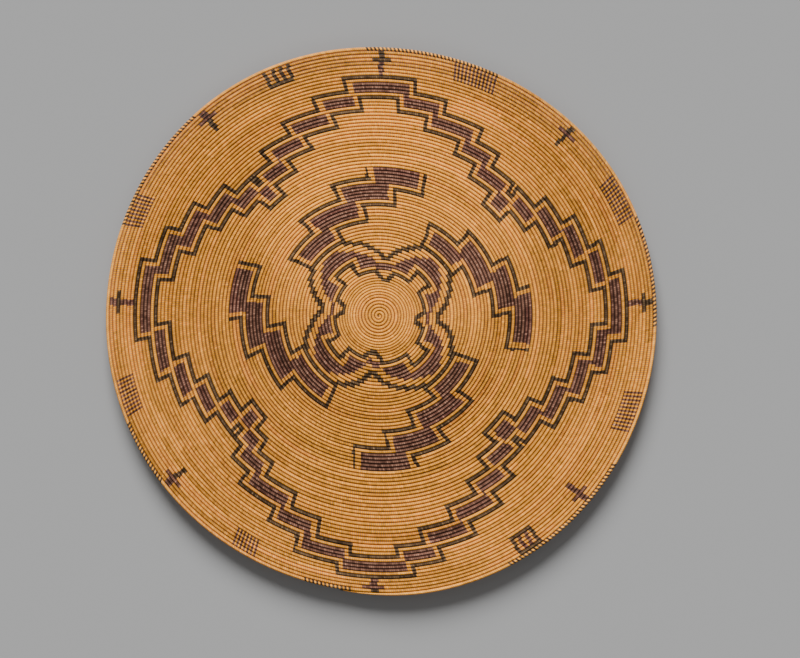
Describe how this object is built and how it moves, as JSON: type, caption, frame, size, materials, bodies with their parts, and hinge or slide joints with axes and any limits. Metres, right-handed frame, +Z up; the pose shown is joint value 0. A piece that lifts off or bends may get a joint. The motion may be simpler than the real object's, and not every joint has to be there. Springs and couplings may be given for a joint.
{
  "type": "coiled basketry tray",
  "caption": "Wide shallow tray of one grass bundle coiled outward from a start knot and sewn with split root, with stepped bands, arms and a quatrefoil.",
  "frame": {"origin": "centre of the start knot's underside, where the tray stands", "axes": "+Z up out of the dish; +Y towards the top of the woven design; +X to its right"},
  "size_m": [0.6668, 0.6654, 0.026],
  "materials": {
    "sedge_root": "split root, dry, low sheen, golden tan",
    "bracken_root": "split root, dyed nearly black, low sheen",
    "redbud_bark": "peeled bark, red brown, low sheen"
  },
  "bodies": {
    "root": {"start_knot": "sedge_root", "coil_centre": "sedge_root", "coil_quatrefoil": "sedge_root", "coil_arms_inner": "sedge_root", "coil_arms_outer": "sedge_root", "coil_band_inner": "sedge_root", "coil_band_middle": "sedge_root", "coil_band_outer": "sedge_root", "coil_border": "sedge_root", "coil_rim": "sedge_root", "coil_tail": "sedge_root"}
  },
  "joints": []
}
